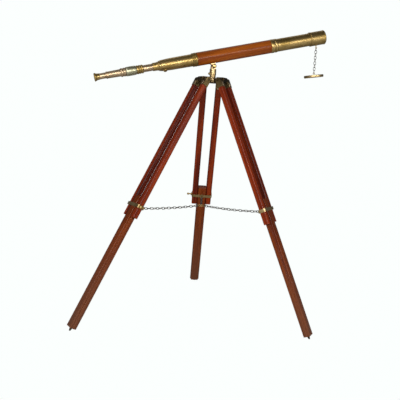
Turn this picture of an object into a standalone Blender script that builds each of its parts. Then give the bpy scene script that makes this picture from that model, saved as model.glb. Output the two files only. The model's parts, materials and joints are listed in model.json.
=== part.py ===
"""Draw telescope in brass and wood, on a tripod whose legs fold, slide and are tied by chains.

Frame: +Z up, metres, origin on the floor under the middle of the whole object's box.
Each leg is modelled in its own frame: origin on the leg's hinge, X along the hinge pin,
Y towards the tripod's axis and Z up along the leg. The telescope's frame has X along the
tube, towards the objective, and its origin where the tube's axis crosses the pan axis.
"""
import math

import bmesh
import bpy
from mathutils import Matrix, Vector

# Where the tripod's axis stands in the part's frame
TRIPOD_AXIS = Vector((0.0114, -0.1102, 0.0))

# Tripod stance
HINGE_HEIGHT = 0.9716
HINGE_RADIUS = 0.0462
LEG_AZIMUTHS = {"back": 92.9, "left": 212.9, "right": 332.9}
FOOT_RADII = {"back": 0.537, "left": 0.5635, "right": 0.4935}

# Leg sections: distances down the leg are measured from the hinge
RAIL_WIDTH = 0.026
RAIL_THICKNESS = 0.020
RAIL_GAP = 0.036
RAIL_ROUNDING = 0.006
RAIL_TOP = 0.0293
RAIL_BOTTOMS = {"back": 0.607, "left": 0.617, "right": 0.599}
GROOVE_TOP = 0.108
GROOVE_DEPTH = 0.0038
GROOVE_WIDTH = 0.0116
CORE_WIDTH = 0.0352
CORE_THICKNESS = 0.0275
TONGUE_WIDTH = 0.043
TONGUE_THICKNESS = 0.011
LOWER_LEG_LENGTH = 0.5696
SPIKE_LENGTH = 0.013
FERRULE_LENGTH = 0.029
FERRULE_THICKNESS = 0.021
PIN_RADIUS = 0.0030
PIN_CLEARANCE = 0.0003
BAND_CENTRES = {"back": 0.560, "left": 0.570, "right": 0.543}
BAND_HEIGHT = 0.013
BAND_WALL = 0.002
HOOK_REACH = 0.0090
HOOK_EYE_RADIUS = 0.0038
HOOK_WIRE = 0.0011

# Stay chains
CHAIN_RADIUS = 0.0025
CHAIN_SAG = 0.004
CHAIN_START = 0.0062
CHAIN_END = 0.0235
RING_RADIUS = 0.019
RING_WIRE = 0.0015
RING_SHIFT = -0.013

# Head and mount
HUB_RADIUS = 0.034
HUB_BOTTOM = 0.9625
HUB_TOP = 0.9750
LUG_WIDTH = 0.0352
LUG_TOP = 0.985
LUG_BOTTOM = 0.9645
LUG_INNER_RADIUS = 0.026
LUG_OUTER_RADIUS = 0.060
TILT_HEIGHT = 1.0285
TUBE_HEIGHT = 1.0678
PAN_ANGLE = 15.0
TILT_ANGLE = 14.3
SLEEVE_BOTTOM = 0.9863
SLEEVE_TOP = 1.0185
SPINDLE_RADIUS = 0.0067
CHEEK_RADIUS = 0.0084
CHEEK_INNER = 0.0063
CHEEK_OUTER = 0.0108
BOLT_RADIUS = 0.0025
LOCK_SCREW_HEIGHT = 0.9990

# Telescope: stations along the tube, from the eyepiece end to the objective end
EYECUP_END = -0.4848
EYEPIECE_END = -0.4645
EYEPIECE_INNER_END = -0.400
HOLDER_END = -0.4385
GRIP_END = -0.3613
DRAW_RING_END = -0.3190
DRAW_RING_FRONT = -0.2920
DRAW_INNER_END = -0.105
COLLAR_END = -0.254
REAR_TUBE_END = -0.2208
BARREL_END = -0.0920
WOOD_END = -0.0730
WOOD_FRONT = 0.2410
FRONT_TUBE_END = 0.2705
FRONT_TUBE_FRONT = 0.4295
DEW_CAP_END = 0.4175
DEW_CAP_FRONT = 0.4830
CLAMP_STATION = -0.209
CLAMP_ANGLE = 51.0
WOOD_RADIUS = 0.0268
MAIN_TUBE_RADIUS = 0.0230
TUBE_WALL = 0.0015
DRAW_RADIUS = 0.0137
EYEPIECE_RADIUS = 0.0115
DEW_CAP_RADIUS = 0.0283

# Lens cap and its chain
CAP_CHAIN_STATION = 0.4435
CAP_EYE_DROP = 0.0365
CAP_CHAIN_LENGTH = 0.1065
CAP_CHAIN_RADIUS = 0.003
CAP_RADIUS = 0.0405
CAP_THICKNESS = 0.0105
CAP_EYE_RISE = 0.0065
CAP_LEAN = 9.4
CAP_EYE_OFFSET = 0.0018

GAP = 0.0003
TUBE_STEPS = 32
SMALL_STEPS = 16

BRASS = ("antique_brass", (0.36, 0.24, 0.09), 0.32, 1.0)
BRONZE = ("dark_bronze", (0.07, 0.05, 0.03), 0.40, 1.0)
NICKEL = ("nickel", (0.50, 0.50, 0.48), 0.30, 1.0)
LEG_WOOD = ("leg_wood", (0.14, 0.03, 0.008), 0.35, 0.0)
BARREL_WOOD = ("barrel_wood", (0.27, 0.08, 0.015), 0.30, 0.0)
GLASS = ("lens_glass", (0.70, 0.80, 0.80), 0.05, 0.0)


def start_scene():
    """Empty the scene and make the two collections."""
    for obj in list(bpy.data.objects):
        bpy.data.objects.remove(obj, do_unlink=True)
    parts = bpy.data.collections.new("telescope_on_tripod")
    cutters = bpy.data.collections.new("cutters")
    for collection in (parts, cutters):
        bpy.context.scene.collection.children.link(collection)
    return parts, cutters


PARTS, CUTTERS = start_scene()


def add_material(obj, finish):
    """Give an object its own material in one of the finishes."""
    label, colour, roughness, metallic = finish
    material = bpy.data.materials.new(label + "_" + obj.name)
    material.use_nodes = True
    shader = material.node_tree.nodes["Principled BSDF"]
    shader.inputs["Base Color"].default_value = (*colour, 1.0)
    shader.inputs["Roughness"].default_value = roughness
    shader.inputs["Metallic"].default_value = metallic
    obj.data.materials.append(material)


def add_empty(name, matrix, parent=None):
    """A frame that pieces are parented to."""
    empty = bpy.data.objects.new(name, None)
    PARTS.objects.link(empty)
    empty.parent = parent
    empty.matrix_local = matrix
    return empty


def add_object(name, data, parent=None, finish=None, matrix=None):
    """Put mesh or curve data in the scene: a part if it has a finish, else a cutter."""
    obj = bpy.data.objects.new(name, data)
    if finish:
        PARTS.objects.link(obj)
        add_material(obj, finish)
    else:
        CUTTERS.objects.link(obj)
        obj.hide_render = True
        obj.display_type = "WIRE"
    obj.parent = parent
    if matrix is not None:
        obj.matrix_local = matrix
    return obj


def mesh_from(name, bm):
    """Turn a bmesh into mesh data with smooth faces and sharp edges kept."""
    mesh = bpy.data.meshes.new(name)
    bm.to_mesh(mesh)
    bm.free()
    mesh.shade_smooth()
    mesh.set_sharp_from_angle(angle=math.radians(35))
    return mesh


def block(name, low, high, parent, finish=None):
    """A box between two corners of the parent's frame."""
    low, high = Vector(low), Vector(high)
    bm = bmesh.new()
    bmesh.ops.create_cube(bm, size=1.0)
    bmesh.ops.scale(bm, vec=high - low, verts=bm.verts)
    bmesh.ops.translate(bm, vec=(low + high) / 2, verts=bm.verts)
    return add_object(name, mesh_from(name, bm), parent, finish)


def rod(name, start, end, radius, parent, finish=None, steps=SMALL_STEPS):
    """A plain cylinder between two points of the parent's frame."""
    start, end = Vector(start), Vector(end)
    run = end - start
    bm = bmesh.new()
    bmesh.ops.create_cone(bm, cap_ends=True, segments=steps, radius1=radius,
                          radius2=radius, depth=run.length)
    turn = run.to_track_quat("Z", "Y").to_matrix().to_4x4()
    matrix = Matrix.Translation((start + end) / 2) @ turn
    return add_object(name, mesh_from(name, bm), parent, finish, matrix)


def turned(name, profile, parent, finish=None, axis="X", steps=TUBE_STEPS, hollow=False,
           offset=(0, 0, 0)):
    """A piece turned about an axis: the profile lists (station, radius) from the far end
    down the outer side, and back up the bore when the piece is hollow."""
    mesh = bpy.data.meshes.new(name)
    points = [(radius, 0.0, station) for station, radius in profile]
    edges = [(i, i + 1) for i in range(len(points) - 1)]
    if hollow:
        edges.append((len(points) - 1, 0))
    mesh.from_pydata(points, edges, [])
    turns = {"X": Matrix.Rotation(math.radians(90), 4, "Y"),
             "Y": Matrix.Rotation(math.radians(-90), 4, "X"),
             "Z": Matrix.Identity(4)}
    obj = add_object(name, mesh, parent, finish, Matrix.Translation(offset) @ turns[axis])
    screw = obj.modifiers.new("turn", "SCREW")
    screw.axis = "Z"
    screw.angle = math.tau
    screw.steps = screw.render_steps = steps
    screw.use_merge_vertices = True
    screw.merge_threshold = 0.00001
    screw.use_smooth_shade = True
    return obj


def ring_of_wire(name, centre, radius, wire, axis, parent, finish=None, steps=20):
    """A torus with its axis along a direction of the parent's frame."""
    bpy.ops.mesh.primitive_torus_add(major_radius=radius, minor_radius=wire,
                                     major_segments=steps, minor_segments=8)
    made = bpy.context.active_object
    mesh = made.data
    bpy.data.objects.remove(made)
    mesh.name = name
    mesh.shade_smooth()
    turn = Vector(axis).to_track_quat("Z", "Y").to_matrix().to_4x4()
    return add_object(name, mesh, parent, finish, Matrix.Translation(centre) @ turn)


def cord(name, points, radius, parent, finish):
    """A round tube along points of the parent's frame."""
    curve = bpy.data.curves.new(name, "CURVE")
    curve.dimensions = "3D"
    curve.bevel_depth = radius
    curve.bevel_resolution = 2
    curve.use_fill_caps = True
    spline = curve.splines.new("POLY")
    spline.points.add(len(points) - 1)
    for place, point in zip(spline.points, points):
        place.co = (*point, 1.0)
    return add_object(name, curve, parent, finish)


def round_long_edges(obj, direction, width, segments=3):
    """Bevel the edges that run along one local direction."""
    mesh = obj.data
    weights = mesh.attributes.new("bevel_weight_edge", "FLOAT", "EDGE")
    for edge in mesh.edges:
        a, b = (mesh.vertices[i].co for i in edge.vertices)
        along = abs((b - a).normalized().dot(Vector(direction)))
        weights.data[edge.index].value = 1.0 if along > 0.99 else 0.0
    bevel = obj.modifiers.new("rounding", "BEVEL")
    bevel.limit_method = "WEIGHT"
    bevel.width = width
    bevel.segments = segments


def soften(obj, width, segments=1):
    """Bevel every sharp edge of a piece."""
    bevel = obj.modifiers.new("soften", "BEVEL")
    bevel.limit_method = "ANGLE"
    bevel.angle_limit = math.radians(50)
    bevel.width = width
    bevel.segments = segments


def boolean(obj, operation, *others):
    """Cut or join with other objects, which move to the cutters."""
    for other in others:
        step = obj.modifiers.new(operation.lower() + "_" + other.name, "BOOLEAN")
        step.operation = operation
        step.solver = "EXACT"
        step.object = other


def frame_at(position, pan=0.0, tilt=0.0):
    """A matrix that turns +X to a bearing and lifts it by a tilt, in degrees."""
    turn = Matrix.Rotation(math.radians(pan), 4, "Z")
    lift = Matrix.Rotation(math.radians(-tilt), 4, "Y")
    return Matrix.Translation(position) @ turn @ lift


# ---------------------------------------------------------------- tripod legs

def leg_splay(leg):
    return math.atan2(FOOT_RADII[leg] - HINGE_RADIUS, HINGE_HEIGHT)


def leg_length(leg):
    return math.hypot(FOOT_RADII[leg] - HINGE_RADIUS, HINGE_HEIGHT)


def upright_frame(leg):
    """The leg's hinge with its X along the pin, Y inwards and Z straight up."""
    bearing = math.radians(LEG_AZIMUTHS[leg])
    outwards = Vector((math.cos(bearing), math.sin(bearing), 0.0))
    hinge = TRIPOD_AXIS + outwards * HINGE_RADIUS + Vector((0, 0, HINGE_HEIGHT))
    turn = Matrix.Rotation(bearing + math.pi / 2, 4, "Z")
    return Matrix.Translation(hinge) @ turn


def leg_frame(leg):
    return upright_frame(leg) @ Matrix.Rotation(-leg_splay(leg), 4, "X")


def make_rail(leg, label, side, frame):
    """One of the two upper rails, with the groove that the lower leg's tongue runs in."""
    inner = side * RAIL_GAP / 2
    outer = side * (RAIL_GAP / 2 + RAIL_WIDTH)
    half = RAIL_THICKNESS / 2
    bottom = -RAIL_BOTTOMS[leg]
    rail = block(f"{leg}_rail_{label}", (min(inner, outer), -half, bottom),
                 (max(inner, outer), half, -RAIL_TOP), frame, LEG_WOOD)
    round_long_edges(rail, (0, 0, 1), RAIL_ROUNDING)
    floor_of_groove = inner + side * GROOVE_DEPTH
    mouth_of_groove = inner - side * GROOVE_DEPTH
    low_x, high_x = sorted((floor_of_groove, mouth_of_groove))
    groove = block(f"cut_{leg}_groove_{label}",
                   (low_x, -GROOVE_WIDTH / 2, bottom - 0.01),
                   (high_x, GROOVE_WIDTH / 2, -GROOVE_TOP), frame)
    boolean(rail, "DIFFERENCE", groove)


def make_ferrule(leg, label, side, frame):
    """Brass eye that caps a rail and turns on the hinge pin."""
    half = FERRULE_THICKNESS / 2
    start = side * (RAIL_GAP / 2 + GAP / 2)
    low_x, high_x = sorted((start, start + side * RAIL_WIDTH))
    ferrule = block(f"{leg}_ferrule_{label}", (low_x, -half, -FERRULE_LENGTH),
                    (high_x, half, 0.0), frame, BRASS)
    top = rod(f"join_{leg}_ferrule_top_{label}", (low_x, 0, 0), (high_x, 0, 0), half, frame)
    hole = rod(f"cut_{leg}_ferrule_hole_{label}", (low_x - 0.01, 0, 0),
               (high_x + 0.01, 0, 0), PIN_RADIUS + PIN_CLEARANCE, frame)
    boolean(ferrule, "UNION", top)
    boolean(ferrule, "DIFFERENCE", hole)


def make_hinge_pin(leg, frame):
    """The pin through the rails' ferrules and the head's lug, with a head at each end."""
    inner = RAIL_GAP / 2 + RAIL_WIDTH + 2 * GAP
    outer = inner + 0.003
    head = 0.0042
    profile = [(outer, 0.0), (outer, head - 0.001), (outer - 0.001, head), (inner, head),
               (inner, PIN_RADIUS)]
    profile += [(-station, radius) for station, radius in reversed(profile)]
    turned(f"{leg}_hinge_pin", profile, frame, BRASS, "X", SMALL_STEPS)


def make_band(leg, frame):
    """Brass band around the rails' lower ends, bored for the clamp screw, with the eye on
    its inner face that the stay chain hangs from; returns the eye's centre."""
    half_x = RAIL_GAP / 2 + RAIL_WIDTH + GAP
    half_y = CORE_THICKNESS / 2 + GAP
    depth = -BAND_CENTRES[leg]
    low, high = depth - BAND_HEIGHT / 2, depth + BAND_HEIGHT / 2
    band = block(f"{leg}_band", (-half_x - BAND_WALL, -half_y - BAND_WALL, low),
                 (half_x + BAND_WALL, half_y + BAND_WALL, high), frame, BRASS)
    round_long_edges(band, (0, 0, 1), 0.006)
    inside = block(f"cut_{leg}_band_inside", (-half_x, -half_y, low - 0.01),
                   (half_x, half_y, high + 0.01), frame)
    round_long_edges(inside, (0, 0, 1), 0.004)
    hole = rod(f"cut_{leg}_band_hole", (half_x - 0.01, 0, depth),
               (half_x + 0.01, 0, depth), 0.0028, frame)
    face = half_y + BAND_WALL
    centre = (0, face + HOOK_REACH, depth)
    eye = ring_of_wire(f"join_{leg}_chain_eye", centre, HOOK_EYE_RADIUS, HOOK_WIRE,
                       (1, 0, 0), frame)
    shank = rod(f"join_{leg}_eye_shank", (0, face - BAND_WALL / 2, depth),
                (0, face + HOOK_REACH - HOOK_EYE_RADIUS, depth), 0.0018, frame)
    plate = rod(f"join_{leg}_eye_plate", (0, face - BAND_WALL / 2, depth), (0, face + 0.0014, depth),
                0.0085, frame)
    boolean(band, "DIFFERENCE", inside, hole)
    boolean(band, "UNION", plate, shank, eye)
    return Vector(centre)


def make_clamp_screw(leg, frame):
    """Thumbscrew that presses the rails onto the lower leg, in its own frame."""
    start = RAIL_GAP / 2 + RAIL_WIDTH + GAP
    seat = start + BAND_WALL + GAP
    screw_frame = add_empty(f"{leg}_clamp_frame",
                            Matrix.Translation((0, 0, -BAND_CENTRES[leg])), frame)
    knob = seat + 0.011
    profile = [(knob + 0.0100, 0.0), (knob + 0.0100, 0.0026), (knob + 0.0078, 0.0046),
               (knob + 0.0030, 0.0048), (knob, 0.0026), (seat + 0.0045, 0.0026),
               (seat + 0.0030, 0.0068), (seat, 0.0068), (seat, 0.0025), (start, 0.0025),
               (start, 0.0)]
    turned(f"{leg}_clamp_screw", profile, screw_frame, BRASS, "X", SMALL_STEPS)


def make_lower_leg(leg, frame):
    """Sliding lower leg: a square core with a tongue on each side."""
    bottom = -(leg_length(leg) - SPIKE_LENGTH)
    top = LOWER_LEG_LENGTH - leg_length(leg)
    core = block(f"{leg}_lower_leg", (-CORE_WIDTH / 2, -CORE_THICKNESS / 2, bottom),
                 (CORE_WIDTH / 2, CORE_THICKNESS / 2, top), frame, LEG_WOOD)
    tongue = block(f"join_{leg}_tongue", (-TONGUE_WIDTH / 2, -TONGUE_THICKNESS / 2, bottom),
                   (TONGUE_WIDTH / 2, TONGUE_THICKNESS / 2, top), frame)
    round_long_edges(core, (0, 0, 1), 0.003, 2)
    round_long_edges(tongue, (0, 0, 1), 0.002, 2)
    boolean(core, "UNION", tongue)


def make_spike(leg, frame):
    """Steel point of the leg, worn flat where it stands."""
    start = -(leg_length(leg) - SPIKE_LENGTH) - GAP
    end = -leg_length(leg) - 0.003
    profile = [(start, 0.0), (start, 0.0062), (start - 0.003, 0.0058), (end, 0.0022),
               (end, 0.0)]
    spike = turned(f"{leg}_foot_spike", profile, frame, BRONZE, "Z", SMALL_STEPS)
    floor = block(f"cut_{leg}_floor", (-1, -1, -0.1), (1, 1, 0.0), None)
    boolean(spike, "DIFFERENCE", floor)


def make_leg(leg):
    """Everything on one leg; returns where its stay chain hangs."""
    frame = add_empty(f"{leg}_leg_frame", leg_frame(leg))
    for label, side in (("a", 1), ("b", -1)):
        make_rail(leg, label, side, frame)
        make_ferrule(leg, label, side, frame)
    make_hinge_pin(leg, frame)
    hook = make_band(leg, frame)
    make_clamp_screw(leg, frame)
    make_lower_leg(leg, frame)
    make_spike(leg, frame)
    return leg_frame(leg) @ hook


# ---------------------------------------------------------------- stay chains

def make_stay_chain(leg, hook, middle):
    """Tube along one stay chain, from its hook to just short of the ring."""
    chain_frame = add_empty(f"{leg}_chain_frame", Matrix.Translation(hook))
    run = middle - hook
    length = run.length - CHAIN_START - CHAIN_END
    heading = run.normalized()
    count = 21
    points = []
    for i in range(count):
        share = i / (count - 1)
        drop = 4 * CHAIN_SAG * share * (1 - share)
        points.append(heading * (CHAIN_START + length * share) - Vector((0, 0, drop)))
    cord(f"{leg}_stay_chain", points, CHAIN_RADIUS, chain_frame, NICKEL)


def make_chains(hooks):
    """Three stay chains and the ring that they meet in."""
    height = sum(hook.z for hook in hooks.values()) / len(hooks)
    middle = TRIPOD_AXIS + Vector((RING_SHIFT, 0, height))
    for leg, hook in hooks.items():
        make_stay_chain(leg, hook, middle)
    ring_of_wire("centre_ring", middle, RING_RADIUS, RING_WIRE, (0, 0, 1), None, BRASS)


# ---------------------------------------------------------------- head and mount

def make_head():
    """Cast head: a hub with three lugs that the legs are pinned to."""
    head = rod("tripod_head", TRIPOD_AXIS + Vector((0, 0, HUB_BOTTOM)),
               TRIPOD_AXIS + Vector((0, 0, HUB_TOP)), HUB_RADIUS, None, BRONZE, TUBE_STEPS)
    half = LUG_WIDTH / 2
    for leg in LEG_AZIMUTHS:
        frame = add_empty(f"{leg}_lug_frame", upright_frame(leg))
        lug = block(f"join_{leg}_lug",
                    (-half, HINGE_RADIUS - LUG_OUTER_RADIUS, LUG_BOTTOM - HINGE_HEIGHT),
                    (half, HINGE_RADIUS - LUG_INNER_RADIUS, LUG_TOP - HINGE_HEIGHT), frame)
        round_long_edges(lug, (1, 0, 0), 0.005, 2)
        boolean(head, "UNION", lug)
        hole = rod(f"cut_{leg}_lug_hole", (-0.03, 0, 0), (0.03, 0, 0),
                   PIN_RADIUS + PIN_CLEARANCE, frame)
        boolean(head, "DIFFERENCE", hole)


def make_pan_base():
    """Flared base with the spindle that the post turns on."""
    profile = [(SLEEVE_TOP - 0.0065, 0.0), (SLEEVE_TOP - 0.0065, SPINDLE_RADIUS),
               (SLEEVE_BOTTOM - GAP, SPINDLE_RADIUS), (SLEEVE_BOTTOM - GAP, 0.0124),
               (0.9815, 0.0136), (0.9785, 0.0160), (HUB_TOP + GAP, 0.0160),
               (HUB_TOP + GAP, 0.0)]
    turned("pan_base", profile, None, BRASS, "Z", TUBE_STEPS, offset=TRIPOD_AXIS)


def cheek_cutters(frame, low_y, high_y, label):
    """Solids of one fork cheek: its upright and its round top."""
    drop = TILT_HEIGHT - SLEEVE_TOP + 0.002
    upright = block(f"join_cheek_upright_{label}", (-CHEEK_RADIUS, low_y, -drop),
                    (CHEEK_RADIUS, high_y, 0.0), frame)
    top = rod(f"join_cheek_top_{label}", (0, low_y, 0), (0, high_y, 0), CHEEK_RADIUS, frame)
    return upright, top


def make_post(pan_frame):
    """Post sleeve with the fork that the telescope tilts in."""
    base = SLEEVE_BOTTOM - TILT_HEIGHT
    top = SLEEVE_TOP - TILT_HEIGHT
    bore = SPINDLE_RADIUS + GAP
    profile = [(top, 0.0), (top, 0.0125), (top - 0.001, 0.0133), (base + 0.0080, 0.0133),
               (base + 0.0068, 0.0122), (base, 0.0122), (base, bore),
               (top - 0.005, bore), (top - 0.005, 0.0)]
    post = turned("post_sleeve", profile, pan_frame, BRASS, "Z")
    for label, side in (("near", -1), ("far", 1)):
        low_y, high_y = sorted((side * CHEEK_INNER, side * CHEEK_OUTER))
        boolean(post, "UNION", *cheek_cutters(pan_frame, low_y, high_y, label))
    bolt_hole = rod("cut_fork_hole", (0, -0.02, 0), (0, 0.02, 0), BOLT_RADIUS + GAP,
                    pan_frame)
    height = LOCK_SCREW_HEIGHT - TILT_HEIGHT
    screw_hole = rod("cut_lock_hole", (-0.03, 0, height), (0.0, 0, height), 0.0023,
                     pan_frame)
    boolean(post, "DIFFERENCE", bolt_hole, screw_hole)


def make_lock_screw(pan_frame):
    """Small screw that stops the post turning on its spindle."""
    frame = add_empty("lock_screw_frame",
                      Matrix.Translation((0, 0, LOCK_SCREW_HEIGHT - TILT_HEIGHT)), pan_frame)
    profile = [(-SPINDLE_RADIUS - GAP, 0.0), (-SPINDLE_RADIUS - GAP, 0.0020),
               (-0.0137, 0.0020), (-0.0137, 0.0044), (-0.0176, 0.0044), (-0.0185, 0.0034),
               (-0.0185, 0.0)]
    turned("pan_lock_screw", profile, frame, BRASS, "X", SMALL_STEPS)


def make_tilt_bolt(pan_frame):
    """Bolt through the fork, and the knob that tightens it."""
    profile = [(0.0141, 0.0), (0.0141, 0.0042), (0.0131, 0.0050), (CHEEK_OUTER + GAP, 0.0050),
               (CHEEK_OUTER + GAP, BOLT_RADIUS), (-0.0185, BOLT_RADIUS), (-0.0185, 0.0)]
    turned("tilt_bolt", profile, pan_frame, BRASS, "Y", SMALL_STEPS)
    seat = -CHEEK_OUTER - GAP
    bore = BOLT_RADIUS + GAP
    knob = [(seat, bore), (seat, 0.0046), (seat - 0.0020, 0.0046), (seat - 0.0032, 0.0078),
            (seat - 0.0120, 0.0078), (seat - 0.0140, 0.0058), (seat - 0.0140, 0.0),
            (-0.0190, 0.0), (-0.0190, bore)]
    turned("tilt_knob", knob, pan_frame, BRASS, "Y", SMALL_STEPS, hollow=True)


def make_saddle(tube_frame, tilt_axis):
    """Saddle plate and tongue under the barrel; tilt_axis is in the tube's frame."""
    x, z = tilt_axis.x, tilt_axis.z
    saddle = block("saddle", (x - 0.010, -0.0090, z + 0.0088),
                   (x + 0.010, 0.0090, -0.0225), tube_frame, BRASS)
    tongue = block("join_tongue", (x - 0.0072, -0.0060, z), (x + 0.0072, 0.0060, z + 0.010),
                   tube_frame)
    foot = rod("join_tongue_foot", (x, -0.0060, z), (x, 0.0060, z), 0.0072, tube_frame)
    barrel = rod("cut_saddle_seat", (x - 0.05, 0, 0), (x + 0.05, 0, 0),
                 WOOD_RADIUS + GAP, tube_frame, steps=64)
    bolt_hole = rod("cut_tongue_hole", (x, -0.02, z), (x, 0.02, z), BOLT_RADIUS + GAP,
                    tube_frame)
    boolean(saddle, "UNION", tongue, foot)
    boolean(saddle, "DIFFERENCE", barrel, bolt_hole,
            saddle_screw_hole("saddle", tube_frame, x))


def saddle_screw_hole(label, tube_frame, x):
    return rod(f"cut_{label}_screw", (x, 0, -0.0300), (x, 0, -0.0100), 0.0021, tube_frame)


def make_saddle_screw(tube_frame, x):
    """Screw from inside the tube, through its walls and the wood into the saddle."""
    inner = MAIN_TUBE_RADIUS - TUBE_WALL
    profile = [(-inner + 0.0032, 0.0), (-inner + 0.0032, 0.0028), (-inner + 0.0026, 0.0034),
               (-inner + 0.0009, 0.0034), (-inner + 0.0009, 0.0018), (-0.0296, 0.0018),
               (-0.0296, 0.0)]
    turned("saddle_screw", profile, tube_frame, BRASS, "Z", SMALL_STEPS, offset=(x, 0, 0))


# ---------------------------------------------------------------- telescope

def sleeve(stations, bore):
    """Profile of a hollow piece from its outer line, far end first, and a plain bore."""
    return stations + [(stations[-1][0], bore), (stations[0][0], bore)]


def beads(start, end, base, crown, count):
    """Outer line of a row of beads from start down to end."""
    pitch = (start - end) / count
    line = []
    for i in range(count):
        top = start - i * pitch
        line += [(top, base), (top - 0.25 * pitch, crown - 0.0004),
                 (top - 0.5 * pitch, crown), (top - 0.75 * pitch, crown - 0.0004)]
    return line + [(end, base)]


def make_barrel(tube_frame, saddle_x):
    """Main tube with its wooden barrel and the rings at both ends."""
    inner = MAIN_TUBE_RADIUS - TUBE_WALL
    bore = MAIN_TUBE_RADIUS + GAP
    main = turned("main_tube", sleeve([(0.2685, MAIN_TUBE_RADIUS), (BARREL_END, MAIN_TUBE_RADIUS)],
                                      inner), tube_frame, BRASS, hollow=True)
    wood = turned("wood_barrel", sleeve([(WOOD_FRONT, WOOD_RADIUS), (WOOD_END, WOOD_RADIUS)],
                                        bore), tube_frame, BARREL_WOOD, hollow=True)
    for obj in (main, wood):
        boolean(obj, "DIFFERENCE", saddle_screw_hole(obj.name, tube_frame, saddle_x))
    rear = beads(WOOD_END - GAP, BARREL_END, 0.0258, 0.0270, 2)
    turned("rear_ring", sleeve(rear, bore), tube_frame, BRASS, hollow=True)
    front = beads(FRONT_TUBE_END - GAP, WOOD_FRONT + GAP, 0.0262, 0.0275, 2)
    turned("front_ring", sleeve(front, bore), tube_frame, BRASS, hollow=True)


def make_rear_tube(tube_frame):
    """Tapered rear tube, the collar that guides the draw tube, and its clamp screw."""
    thin, thick = 0.0214, 0.0242
    waist = REAR_TUBE_END + 0.040
    outline = [(BARREL_END - GAP, thick), (waist, thick - 0.0006), (REAR_TUBE_END, thin),
               (REAR_TUBE_END, thin - TUBE_WALL), (waist, thick - 0.0006 - TUBE_WALL),
               (BARREL_END - GAP, thick - TUBE_WALL)]
    rear = turned("rear_tube", outline, tube_frame, BRASS, hollow=True)
    flange = REAR_TUBE_END - GAP
    collar = [(flange, 0.0200), (flange - 0.0075, 0.0200), (flange - 0.0085, 0.0166),
              (COLLAR_END + 0.003, 0.0160), (COLLAR_END, 0.0149)]
    turned("draw_collar", sleeve(collar, DRAW_RADIUS + GAP), tube_frame, BRASS, hollow=True)
    down = math.radians(CLAMP_ANGLE)
    heading = Vector((0, -math.cos(down), -math.sin(down)))
    turn = heading.to_track_quat("Z", "Y").to_matrix().to_4x4()
    screw_frame = add_empty("draw_clamp_frame",
                            Matrix.Translation((CLAMP_STATION, 0, 0)) @ turn, tube_frame)
    hole = rod("cut_draw_clamp", (0, 0, 0.012), (0, 0, 0.03), 0.0026, screw_frame)
    boolean(rear, "DIFFERENCE", hole)
    profile = [(0.0305, 0.0), (0.0305, 0.0062), (0.0295, 0.0078), (0.0245, 0.0080),
               (0.0235, 0.0050), (0.0228, 0.0050), (0.0228, 0.0022),
               (DRAW_RADIUS + GAP, 0.0022), (DRAW_RADIUS + GAP, 0.0)]
    turned("draw_clamp_screw", profile, screw_frame, BRASS, "Z", SMALL_STEPS)


def make_front(tube_frame):
    """Front tube, objective cell and lens, and the dew cap."""
    front = [(FRONT_TUBE_FRONT, 0.0258), (FRONT_TUBE_END, 0.0258)]
    turned("front_tube", sleeve(front, 0.0240), tube_frame, BRASS, hollow=True)
    seat = FRONT_TUBE_FRONT + GAP
    cell = [(seat + 0.0040, 0.0202), (seat + 0.0040, 0.0254), (seat, 0.0254), (seat, 0.0237),
            (0.4145, 0.0237), (0.4145, 0.0185), (0.4175, 0.0185), (0.4175, 0.0202)]
    turned("objective_cell", cell, tube_frame, BRONZE, hollow=True)
    turned("objective_lens", lens_profile(0.4220, 0.0199, 0.0040, 0.0020), tube_frame, GLASS)
    make_dew_cap(tube_frame)


def make_dew_cap(tube_frame):
    """Sleeve over the objective, with the eye that the lens cap's chain hangs from."""
    lip = DEW_CAP_RADIUS + 0.0007
    outline = [(DEW_CAP_FRONT, 0.0272), (DEW_CAP_FRONT, DEW_CAP_RADIUS),
               (DEW_CAP_FRONT - 0.0015, lip), (DEW_CAP_FRONT - 0.0045, lip),
               (DEW_CAP_FRONT - 0.0060, DEW_CAP_RADIUS), (DEW_CAP_END + 0.0060, DEW_CAP_RADIUS),
               (DEW_CAP_END + 0.0045, lip), (DEW_CAP_END + 0.0015, lip),
               (DEW_CAP_END, DEW_CAP_RADIUS - 0.0010), (DEW_CAP_END, 0.0260),
               (DEW_CAP_FRONT - 0.0020, 0.0260)]
    dew_cap = turned("dew_cap", outline, tube_frame, BRASS, hollow=True)
    eye_centre = (CAP_CHAIN_STATION, 0, -CAP_EYE_DROP)
    eye = ring_of_wire("join_cap_chain_eye", eye_centre, 0.0035, 0.0010, (0, 1, 0),
                       tube_frame)
    shank = rod("join_cap_eye_shank", (CAP_CHAIN_STATION, 0, -0.0270),
                (CAP_CHAIN_STATION, 0, -CAP_EYE_DROP + 0.0035), 0.0014, tube_frame)
    boolean(dew_cap, "UNION", shank, eye)


def lens_profile(middle, radius, edge, bulge):
    """Profile of a lens: its edge thickness and the bulge of each face."""
    line = [(middle + edge / 2 + bulge * (1 - (i / 4) ** 2), radius * i / 4) for i in range(5)]
    return line + [(2 * middle - station, r) for station, r in reversed(line)]


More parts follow.
